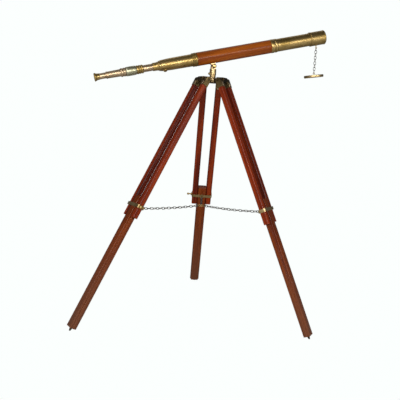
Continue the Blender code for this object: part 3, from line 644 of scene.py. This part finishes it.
def make_ferrule(leg, label, side, matrix):
    """Cast cap over a rail's top, with a riveted strap on its inner and outer face."""
    low, high = sorted((side * (RAIL_INNER + GAP / 2), side * (RAIL_OUTER + GAP / 2)))
    half = FERRULE_HALF
    bm = bmesh.new()
    arc = [(math.cos(math.radians(a)) * half, math.sin(math.radians(a)) * half)
           for a in range(0, 181, 15)]
    outline = [(half, -FERRULE_LENGTH)] + arc + [(-half, -FERRULE_LENGTH)]
    add_prism(bm, outline, low, high, "X")
    name = f"{leg}_ferrule_{label}"
    piece(name + "_look", bm, matrix, DARK_BRASS, leg + "_leg", (name,), 0.0009, 3)
    middle = (low + high) / 2
    strap_half, strap_low, strap_high, rivet = 0.0062, -0.0284, -0.0105, -0.0225
    for face in (1, -1):
        strap = bmesh.new()
        near, far = sorted((face * (half - 0.0004), face * (half + 0.0007)))
        add_box(strap, (middle - strap_half, near, strap_low),
                (middle + strap_half, far, strap_high))
        add_rod(strap, (middle, face * half, rivet), (middle, face * (half + 0.0015), rivet),
                0.0022, 16, 0.0014)
        side_name = "inner" if face > 0 else "outer"
        piece(f"{name}_{side_name}_strap", strap, matrix, PALE_BRASS, leg + "_leg",
              soften=0.0004)


def make_hinge_pin(leg, matrix):
    """Pin with a domed head at each end."""
    bm = bmesh.new()
    inner = RAIL_OUTER + 2 * GAP
    outer = inner + 0.003
    dome = [(outer - 0.0004 * i * i / 4, 0.0042 * i / 5) for i in range(6)]
    profile = dome + [(inner, 0.0042), (inner, PIN_RADIUS)]
    profile += [(-station, radius) for station, radius in reversed(profile)]
    add_lathe(bm, profile, "X", 40)
    name = leg + "_hinge_pin"
    piece(name + "_look", bm, matrix, BRONZE, leg + "_leg", (name,), 0.0003)


def make_lower_leg(leg, matrix):
    """Cross-shaped lower leg: a square core with a tongue on each side."""
    length = leg_length(leg)
    low, high = -(length - SPIKE_LENGTH), LOWER_LEG_LENGTH - length
    r, q = 0.0026, 0.0016
    quarter = [(TONGUE_X, 0.0), (TONGUE_X, TONGUE_Y - q), (TONGUE_X - 0.3 * q, TONGUE_Y - 0.3 * q),
               (TONGUE_X - q, TONGUE_Y), (CORE_X + 0.0006, TONGUE_Y), (CORE_X, TONGUE_Y + 0.0006),
               (CORE_X, CORE_Y - r), (CORE_X - 0.13 * r, CORE_Y - 0.5 * r),
               (CORE_X - 0.5 * r, CORE_Y - 0.13 * r), (CORE_X - r, CORE_Y)]
    outline = quarter[1:] + [(-x, y) for x, y in reversed(quarter[1:])]
    outline += [(x, -y) for x, y in reversed(outline)]
    bm = bmesh.new()
    add_prism(bm, outline, low, high)
    name = leg + "_lower_leg"
    piece(name + "_look", bm, matrix, LOWER_WOOD, name, (name,), 0.0005)


def make_spike(leg, matrix):
    """Turned iron point in a collar, worn flat where it stands."""
    length = leg_length(leg)
    start = -(length - SPIKE_LENGTH) - GAP
    bm = bmesh.new()
    profile = [(start, 0.0), (start, 0.0060), (start - 0.0022, 0.0062), (start - 0.0030, 0.0052),
               (start - 0.0060, 0.0046), (-length - 0.002, 0.0024), (-length - 0.002, 0.0)]
    add_lathe(bm, profile, "Z", 40)
    floor = matrix.inverted() @ Vector((0, 0, 0.0002))
    normal = matrix.inverted().to_3x3() @ Vector((0, 0, 1))
    geometry = bm.verts[:] + bm.edges[:] + bm.faces[:]
    cut = bmesh.ops.bisect_plane(bm, geom=geometry, plane_co=floor, plane_no=normal,
                                 clear_inner=True)
    rim = [g for g in cut["geom_cut"] if isinstance(g, bmesh.types.BMEdge)]
    bmesh.ops.edgeloop_fill(bm, edges=rim)
    name = leg + "_foot_spike"
    piece(name + "_look", bm, matrix, BRONZE, leg + "_lower_leg", (name,))


def make_band(leg, matrix):
    """Brass strap with rounded corners, its screw boss and the chain's eye."""
    half_x = RAIL_OUTER + GAP
    half_y = CORE_Y + GAP
    depth = -BAND_DEPTHS[leg]
    low, high = depth - BAND_HALF, depth + BAND_HALF
    outer = rounded(half_x + BAND_WALL, half_y + BAND_WALL, 0.0060)
    inner = rounded(half_x, half_y, 0.0040)
    bm = bmesh.new()
    loops = [[bm.verts.new((x, y, z)) for x, y in line]
             for line, z in ((outer, low), (outer, high), (inner, high), (inner, low))]
    for first, second in zip(loops, loops[1:] + loops[:1]):
        join_rings(bm, first, second, len(outer))
    face = half_y + BAND_WALL
    centre = Vector((0, face + 0.0090, depth))
    add_rod(bm, (0, face - 0.001, depth), (0, face + 0.0055, depth), 0.0018, 16)
    plate = bmesh.new()
    add_rod(plate, (0, face - 0.0010, 0), (0, face + 0.0014, 0), 0.0076, 40)
    oval = Matrix.Translation((0, 0, depth)) @ Matrix.Diagonal((1.0, 1.0, 1.4, 1.0))
    bmesh.ops.transform(plate, matrix=oval, verts=plate.verts)
    absorb(bm, plate)
    add_loop(bm, centre, 0.0038, 0.0011, (1, 0, 0), 0.0, (0, 1, 0))
    name = leg + "_band"
    piece(name + "_look", bm, matrix, BRASS_UPRIGHT, leg + "_leg", (name,), 0.0004)


def make_clamp_screw(leg, matrix):
    """Thumbscrew: flanged boss, neck and a knurled knob."""
    seat = RAIL_OUTER + 2 * GAP + BAND_WALL
    knob = seat + 0.011
    profile = [(knob + 0.0100, 0.0), (knob + 0.0100, 0.0028), (knob + 0.0085, 0.0044),
               (knob + 0.0070, 0.0048), (knob + 0.0030, 0.0048), (knob + 0.0012, 0.0036),
               (knob, 0.0026), (seat + 0.0050, 0.0025), (seat + 0.0042, 0.0036),
               (seat + 0.0030, 0.0064), (seat + 0.0004, 0.0068), (seat, 0.0068),
               (seat, 0.0024), (RAIL_OUTER + GAP, 0.0024), (RAIL_OUTER + GAP, 0.0)]
    place = matrix @ Matrix.Translation((0, 0, -BAND_DEPTHS[leg]))
    shape = knurl(0.0005, 18, knob + 0.0029, knob + 0.0086)
    name = leg + "_clamp_screw"
    turned_piece(name + "_look", profile, place, BRASS, name, name, "X", False, 72,
                 shape, 0.0002)


def make_leg(leg):
    matrix = leg_frame(leg)
    for label, side in (("a", 1), ("b", -1)):
        make_rail(leg, label, side, matrix)
        make_ferrule(leg, label, side, matrix)
    make_hinge_pin(leg, matrix)
    make_lower_leg(leg, matrix)
    make_spike(leg, matrix)
    make_band(leg, matrix)
    make_clamp_screw(leg, matrix)


# ---------------------------------------------------------------- chains

def chain_links(bm, path, link, spin):
    """Oval links along a path, each turned a quarter from the last."""
    pitch, width, wire = link
    radius = width / 2 - wire
    stretch = pitch + 2 * wire - width + 0.0002
    distances = [0.0]
    for a, b in zip(path, path[1:]):
        distances.append(distances[-1] + (b - a).length)
    total = distances[-1]
    count = max(2, round(total / pitch))
    step = total / count
    for i in range(count):
        centre, heading = point_along(path, distances, (i + 0.5) * step)
        side = heading.orthogonal().normalized()
        turn = spin + 90 * (i % 2) + CHANCE.uniform(-12, 12)
        axis = Matrix.Rotation(math.radians(turn), 3, heading) @ side
        add_loop(bm, centre, radius + wire / 2, wire, axis, stretch + step - pitch, heading,
                 16, 8)


def point_along(path, distances, reach):
    """Point and heading at a distance along a path."""
    for i in range(len(path) - 1):
        if reach <= distances[i + 1] or i == len(path) - 2:
            share = (reach - distances[i]) / (distances[i + 1] - distances[i])
            heading = (path[i + 1] - path[i]).normalized()
            return path[i].lerp(path[i + 1], share), heading
    return path[-1], Vector((0, 0, 1))


def make_stay_chain(leg):
    """Chain from the band's eye to the centre ring, sagging a little."""
    hook = Vector(JOINTS[leg + "_chain_hang"]["pos_m"])
    run = RING_CENTRE - hook
    start, end, sag = 0.0030, 0.0172, 0.004
    length = run.length - start - end
    heading = run.normalized()
    path = [hook + heading * (start + length * i / 20)
            - Vector((0, 0, 4 * sag * (i / 20) * (1 - i / 20))) for i in range(21)]
    bm = bmesh.new()
    chain_links(bm, path, STAY_LINK, 20)
    name = leg + "_stay_chain"
    chain = piece(name + "_look", bm, Matrix.Identity(4), CHAIN, name, (name,))


def make_ring():
    bm = bmesh.new()
    add_loop(bm, RING_CENTRE, 0.0190, 0.0015, (0, 0, 1), 0.0, (1, 0, 0), 48, 14)
    piece("centre_ring_look", bm, Matrix.Identity(4), BRASS, "back_stay_chain",
          ("centre_ring",))


# ---------------------------------------------------------------- head and mount

def make_head():
    """Cast head: a hub with a hollow under it, and three lugs."""
    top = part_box("pan_base")[0][2] - GAP
    bm = bmesh.new()
    hub = [(top, 0.0), (top, 0.0330), (top - 0.0012, 0.0340), (top - 0.0110, 0.0340),
           (top - 0.0125, 0.0325), (top - 0.0125, 0.0150), (top - 0.0100, 0.0130),
           (top - 0.0100, 0.0)]
    add_lathe(bm, hub, "Z", 72)
    bmesh.ops.transform(bm, matrix=HEAD, verts=bm.verts)
    for leg in LEGS:
        arm = bmesh.new()
        add_lug(arm)
        bmesh.ops.transform(arm, matrix=upright_frame(leg), verts=arm.verts)
        absorb(bm, arm)
    piece("tripod_head_look", bm, Matrix.Identity(4), BRONZE, "head", ("tripod_head",),
          0.0012, 3)


def add_lug(bm):
    """One lug in the frame of its hinge: a block with a rounded outer end."""
    half = 0.0176
    outline = [(0.0202, 0.0134), (-0.0085, 0.0134), (-0.0118, 0.0121), (-0.0134, 0.0090),
               (-0.0138, 0.0050), (-0.0136, -0.0010), (-0.0120, -0.0048), (-0.0085, -0.0071),
               (0.0202, -0.0071)]
    add_prism(bm, outline, -half, half, "X")


def make_pan_base():
    """Flared base and the spindle inside the post."""
    low, high = (Vector(corner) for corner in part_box("pan_base"))
    base = low.z
    seat = base + 0.0107
    profile = [(high.z, 0.0), (high.z, 0.0067), (seat, 0.0067), (seat, 0.0122),
               (base + 0.0085, 0.0126), (base + 0.0062, 0.0134), (base + 0.0042, 0.0149),
               (base + 0.0030, 0.0159), (base + 0.0004, 0.0160), (base, 0.0156), (base, 0.0)]
    turned_piece("pan_base_look", profile, HEAD, BRASS_UPRIGHT, "head", "pan_base",
                 "Z", False, 72)


def make_post():
    """Post sleeve with a rolled collar, a turned groove, and the fork's two cheeks."""
    bm = bmesh.new()
    top, base = -0.0100, -0.0422
    bore = 0.0070
    profile = [(top, 0.0), (top, 0.0118), (top - 0.0008, 0.0128), (top - 0.0020, 0.0133),
               (top - 0.0058, 0.0133), (top - 0.0064, 0.0129), (top - 0.0072, 0.0129),
               (top - 0.0078, 0.0133), (base + 0.0085, 0.0133), (base + 0.0072, 0.0124),
               (base, 0.0122), (base, bore), (top - 0.005, bore), (top - 0.005, 0.0)]
    add_lathe(bm, profile, "Z", 72)
    cheek_radius, cheek_inner, cheek_outer = 0.0084, 0.0063, 0.0108
    for side in (-1, 1):
        low_y, high_y = sorted((side * cheek_inner, side * cheek_outer))
        add_box(bm, (-cheek_radius, low_y, top - 0.002), (cheek_radius, high_y, 0.0))
        add_rod(bm, (0, low_y, 0), (0, high_y, 0), cheek_radius, 40)
    piece("post_sleeve_look", bm, FORK, BRASS_UPRIGHT, "post", ("post_sleeve",),
          0.0003)


def make_mount_screws():
    """Tilt bolt, tilt knob and pan lock screw."""
    bolt = [(0.0141, 0.0), (0.0140, 0.0030), (0.0134, 0.0046), (0.0125, 0.0050),
            (0.0111, 0.0050), (0.0111, 0.0025), (-0.0185, 0.0025), (-0.0185, 0.0)]
    turned_piece("tilt_bolt_look", bolt, FORK, BRASS, "post", "tilt_bolt", "Y",
                 steps=40)
    seat = -0.0111
    knob = [(seat, 0.0028), (seat, 0.0046), (seat - 0.0020, 0.0046), (seat - 0.0030, 0.0070),
            (seat - 0.0036, 0.0078), (seat - 0.0118, 0.0078), (seat - 0.0128, 0.0070),
            (seat - 0.0138, 0.0048), (seat - 0.0140, 0.0), (-0.0190, 0.0), (-0.0190, 0.0028)]
    bm = bmesh.new()
    add_lathe(bm, knob, "Y", 96, True, knurl(0.0006, 24, seat - 0.0119, seat - 0.0035))
    piece("tilt_knob_look", bm, FORK, BRASS, "tilt_knob", ("tilt_knob",), 0.0002)
    lock = [(-0.0070, 0.0), (-0.0070, 0.0020), (-0.0137, 0.0020), (-0.0137, 0.0040),
            (-0.0141, 0.0044), (-0.0172, 0.0044), (-0.0180, 0.0038), (-0.0185, 0.0020),
            (-0.0185, 0.0)]
    height = JOINTS["pan_lock_turn"]["pos_m"][2] - TILT_POINT.z
    turned_piece("pan_lock_screw_look", lock, FORK @ Matrix.Translation((0, 0, height)), BRASS,
                 "pan_lock_screw", "pan_lock_screw", "X", steps=48,
                 shape=knurl(0.0004, 14, -0.0173, -0.0140))


def make_saddle():
    """Saddle plate curved to the barrel, with its tongue between the fork's cheeks."""
    tilt = TUBE.inverted() @ TILT_POINT
    x, z = tilt.x, tilt.z
    bm = bmesh.new()
    steps, half_x, half_y = 12, 0.0100, 0.0090
    seat = WOOD_RADIUS + GAP
    low = z + 0.0088
    outline = []
    for i in range(steps + 1):
        y = -half_y + 2 * half_y * i / steps
        outline.append((y, -math.sqrt(seat ** 2 - y ** 2)))
    outline += [(half_y, low), (-half_y, low)]
    add_prism(bm, outline, x - half_x, x + half_x, "X")
    tongue_radius, tongue_half = 0.0072, 0.0060
    add_box(bm, (x - tongue_radius, -tongue_half, z),
            (x + tongue_radius, tongue_half, low + 0.001))
    add_rod(bm, (x, -tongue_half, z), (x, tongue_half, z), tongue_radius, 40)
    piece("saddle_look", bm, TUBE, BRASS_UPRIGHT, "telescope", ("saddle",), 0.0005)


# ---------------------------------------------------------------- telescope

def make_barrel():
    bore = MAIN_TUBE_RADIUS + GAP
    wood = [(WOOD_FRONT, WOOD_RADIUS - 0.0008), (WOOD_FRONT - 0.0008, WOOD_RADIUS)]
    wood += [(WOOD_FRONT + (WOOD_END - WOOD_FRONT) * i / 6, WOOD_RADIUS) for i in range(1, 6)]
    wood += [(WOOD_END + 0.0008, WOOD_RADIUS), (WOOD_END, WOOD_RADIUS - 0.0008)]
    turned_piece("wood_barrel_look", sleeve(wood, bore), TUBE, BARREL_WOOD, "telescope",
                 "wood_barrel", hollow=True)
    rear = [(WOOD_END - GAP, 0.0262)] + bead_row(WOOD_END - 0.0008, -0.0815, 0.0260, 0.0272, 1)
    rear += bead_row(-0.0819, -0.0914, 0.0256, 0.0268, 2) + [(-0.0920, 0.0252)]
    turned_piece("rear_ring_look", sleeve(rear, bore), TUBE, BRASS, "telescope", "rear_ring",
                 hollow=True)
    front = [(0.2702, 0.0262)] + bead_row(0.2698, 0.2600, 0.0262, 0.0274, 1)
    front += [(0.2596, 0.0258), (0.2584, 0.0258)]
    front += bead_row(0.2580, 0.2424, 0.0262, 0.0276, 1) + [(0.2413, 0.0262)]
    turned_piece("front_ring_look", sleeve(front, bore), TUBE, BRASS, "telescope",
                 "front_ring", hollow=True)


def make_rear():
    """Tapered rear tube, collar and clamp screw."""
    front, waist, end = -0.0923, -0.1808, -0.2208
    outer = [(front, 0.0242), (-0.1350, 0.0239), (waist, 0.0236), (-0.2000, 0.0226),
             (end, 0.0214)]
    bore = [(end, 0.0199), (waist, 0.0221), (front, 0.0227)]
    turned_piece("rear_tube_look", outer + bore, TUBE, BRASS, "telescope", "rear_tube",
                 hollow=True)
    flange = end - GAP
    collar = [(flange, 0.0196), (flange - 0.0006, 0.0200), (flange - 0.0068, 0.0200),
              (flange - 0.0076, 0.0192), (flange - 0.0085, 0.0168)]
    collar += bead(flange - 0.0100, flange - 0.0150, 0.0163, 0.0172)
    collar += [(-0.2510, 0.0160), (-0.2532, 0.0156), (-0.2540, 0.0149)]
    turned_piece("draw_collar_look", sleeve(collar, DRAW_RADIUS + GAP), TUBE, BRASS,
                 "telescope", "draw_collar", hollow=True)
    joint = JOINTS["draw_clamp_turn"]
    axis = Vector(joint["axis"])
    seat = Vector(joint["pos_m"]) - axis * 0.024
    place = frame_matrix(seat, axis.orthogonal(), axis)
    screw = [(0.0305, 0.0), (0.0304, 0.0045), (0.0298, 0.0068), (0.0288, 0.0079),
             (0.0252, 0.0080), (0.0242, 0.0070), (0.0235, 0.0050), (0.0228, 0.0050),
             (0.0228, 0.0022), (0.0140, 0.0022), (0.0140, 0.0)]
    turned_piece("draw_clamp_screw_look", screw, place, BRASS, "draw_clamp_screw",
                 "draw_clamp_screw", "Z", steps=72,
                 shape=knurl(0.0005, 24, 0.0250, 0.0289))


def make_front():
    """Front tube, objective cell, lens and dew cap."""
    outline = [(0.4295, 0.0255), (0.4292, 0.0258)]
    outline += [(0.4292 + (0.2708 - 0.4292) * i / 6, 0.0258) for i in range(1, 6)]
    outline += [(0.2708, 0.0258), (0.2705, 0.0255)]
    turned_piece("front_tube_look", sleeve(outline, 0.0240), TUBE, BRASS, "telescope",
                 "front_tube", hollow=True)
    seat = 0.4298
    cell = [(seat + 0.0040, 0.0202), (seat + 0.0040, 0.0250), (seat + 0.0036, 0.0254),
            (seat, 0.0254), (seat, 0.0237), (0.4145, 0.0237), (0.4145, 0.0185),
            (0.4175, 0.0185), (0.4175, 0.0202)]
    turned_piece("objective_cell_look", cell, TUBE, BRONZE, "telescope", "objective_cell",
                 hollow=True)
    lens_piece("objective_lens", 0.4220, 0.0199, 0.0040, 0.0020, "telescope")
    make_dew_cap()


def make_dew_cap():
    lip = DEW_CAP_RADIUS + 0.0007
    front, end = 0.4830, 0.4175
    outline = [(front, 0.0266), (front, 0.0278), (front - 0.0006, DEW_CAP_RADIUS)]
    outline += bead(front - 0.0008, front - 0.0048, DEW_CAP_RADIUS, lip)
    outline += [(front - 0.0060, DEW_CAP_RADIUS), (end + 0.0062, DEW_CAP_RADIUS)]
    outline += bead(end + 0.0050, end + 0.0010, DEW_CAP_RADIUS, lip)
    outline += [(end, DEW_CAP_RADIUS - 0.0010), (end, 0.0260), (front - 0.0020, 0.0260)]
    bm = bmesh.new()
    add_lathe(bm, outline, "X", 96, True)
    eye = Vector((CAP_CHAIN_STATION, 0, -CAP_EYE_DROP))
    add_rod(bm, (eye.x, 0, -0.0280), (eye.x, 0, -CAP_EYE_DROP + 0.0035), 0.0013, 16)
    add_rod(bm, (eye.x, 0, -0.0282), (eye.x, 0, -0.0296), 0.0040, 24, 0.0028)
    add_loop(bm, eye, 0.0035, 0.0010, (0, 1, 0), 0.0, (0, 0, 1))
    piece("dew_cap_look", bm, TUBE, BRASS, "telescope", ("dew_cap",), 0.0002)


def lens_piece(node, middle, radius, edge, bulge, body):
    line = [(middle + edge / 2 + bulge * (1 - (i / 8) ** 2), radius * i / 8) for i in range(9)]
    line += [(2 * middle - station, r) for station, r in reversed(line)]
    turned_piece(node + "_look", line, TUBE, GLASS, body, node, soften=0.0)


def make_draw():
    """Draw tube, its bead ring, the grip and the eyepiece holder."""
    bore = DRAW_RADIUS + GAP
    tube = [(-0.1050, DRAW_RADIUS), (-0.2500, DRAW_RADIUS), (-0.2915, DRAW_RADIUS),
            (-0.3583, DRAW_RADIUS)]
    turned_piece("draw_tube_look", sleeve(tube, DRAW_RADIUS - 0.0012), TUBE, PALE_BRASS,
                 "draw", "draw_tube", hollow=True)
    ring = bead_row(-0.2921, -0.3187, 0.0154, 0.0170, 3, 0.0010)
    turned_piece("draw_ring_look", sleeve(ring, bore), TUBE, BRASS, "draw", "draw_ring",
                 hollow=True)
    grip = [(-0.3190, 0.0162), (-0.3205, 0.0169), (-0.3245, 0.0177), (-0.3320, 0.0181),
            (-0.3400, 0.0182), (-0.3500, 0.0181), (-0.3570, 0.0179), (-0.3600, 0.0175),
            (-0.3610, 0.0168)]
    turned_piece("focus_grip_look", sleeve(grip, bore), TUBE, GRIP_BRASS, "draw",
                 "focus_grip", hollow=True)
    holder = bead_row(-0.3614, -0.3818, 0.0150, 0.0169, 2, 0.0012)
    holder += [(-0.3830, 0.0142), (-0.4100, 0.0137), (-0.4345, 0.0132), (-0.4349, 0.0139),
               (-0.4381, 0.0139), (-0.4385, 0.0136)]
    turned_piece("eyepiece_holder_look", sleeve(holder, EYEPIECE_RADIUS + GAP), TUBE,
                 PALE_BRASS, "draw", "eyepiece_holder", hollow=True)


def make_eyepiece():
    wall = 0.0010
    tube = [(-0.4000, EYEPIECE_RADIUS), (-0.4400, EYEPIECE_RADIUS), (-0.4645, EYEPIECE_RADIUS)]
    turned_piece("eyepiece_tube_look", sleeve(tube, EYEPIECE_RADIUS - wall), TUBE, PALE_BRASS,
                 "eyepiece", "eyepiece_tube", hollow=True)
    start, end = -0.4648, -0.4848
    cup = [(start, 0.0060), (start, 0.0118), (start - 0.0010, 0.0123), (start - 0.0050, 0.0124),
           (start - 0.0085, 0.0129), (start - 0.0120, 0.0138), (start - 0.0146, 0.0149)]
    cup += bead(end + 0.0050, end + 0.0004, 0.0153, 0.0162)
    cup += [(end, 0.0153), (end, 0.0143), (start - 0.0110, 0.0104), (start - 0.0040, 0.0060)]
    turned_piece("eyecup_look", cup, TUBE, BRASS, "eyepiece", "eyecup", hollow=True)


def make_cap():
    """Cap chain and the lens cap that hangs on it, leaning a little."""
    eye = TUBE @ Vector((CAP_CHAIN_STATION, 0, -CAP_EYE_DROP))
    start, end = 0.0016, 0.0016
    length = CAP_CHAIN_LENGTH - start - end
    path = [eye - Vector((0, 0, start + length * i / 12)) for i in range(13)]
    bm = bmesh.new()
    chain_links(bm, path, CAP_LINK, 35)
    chain = piece("cap_chain_look", bm, Matrix.Identity(4), CHAIN, "cap_chain",
                  ("cap_chain",))
    place = frame_matrix(eye - Vector((0, 0, CAP_CHAIN_LENGTH)), BEARING, Vector((0, 0, 1)))
    place = place @ Matrix.Rotation(math.radians(-CAP_LEAN), 4, "Y")
    face = -0.0065
    under = face - 0.0105
    recess = DEW_CAP_RADIUS + 0.0011
    profile = [(face + 0.0006, 0.0), (face + 0.0006, 0.0060), (face, 0.0066), (face, 0.0300),
               (face - 0.0004, 0.0306), (face, 0.0312), (face, 0.0385)]
    profile += bead(face - 0.0001, under + 0.0001, 0.0390, 0.0405)
    profile += [(under, 0.0385), (under, recess), (under + 0.0065, recess),
                (under + 0.0065, 0.0)]
    bm = bmesh.new()
    add_lathe(bm, profile, "Z", 96, place=Matrix.Translation((-CAP_EYE_OFFSET, 0, 0)))
    add_rod(bm, (0, 0, face), (0, 0, -0.0035), 0.0013, 16)
    add_loop(bm, (0, 0, 0), 0.0035, 0.0010, (0, 1, 0), 0.0, (0, 0, 1))
    piece("lens_cap_look", bm, place, BRASS_UPRIGHT, "lens_cap", ("lens_cap",),
          0.0002)


def dress_hidden_nodes():
    """Inner pieces keep their CAD shape and take the object's materials."""
    for name, material in (("main_tube", BRASS), ("saddle_screw", BRASS),
                           ("erector_lens", GLASS), ("eye_lens", GLASS)):
        mesh = frame["nodes"][name].data
        mesh.materials.clear()
        mesh.materials.append(material)


def main():
    place_camera()
    for leg in LEGS:
        make_stay_chain(leg)
    make_ring()
    make_cap()
    light_scene()
    make_floor()
    for leg in LEGS:
        make_leg(leg)
    make_head()
    make_pan_base()
    make_post()
    make_mount_screws()
    make_saddle()
    make_barrel()
    make_rear()
    make_front()
    make_draw()
    make_eyepiece()
    dress_hidden_nodes()


main()
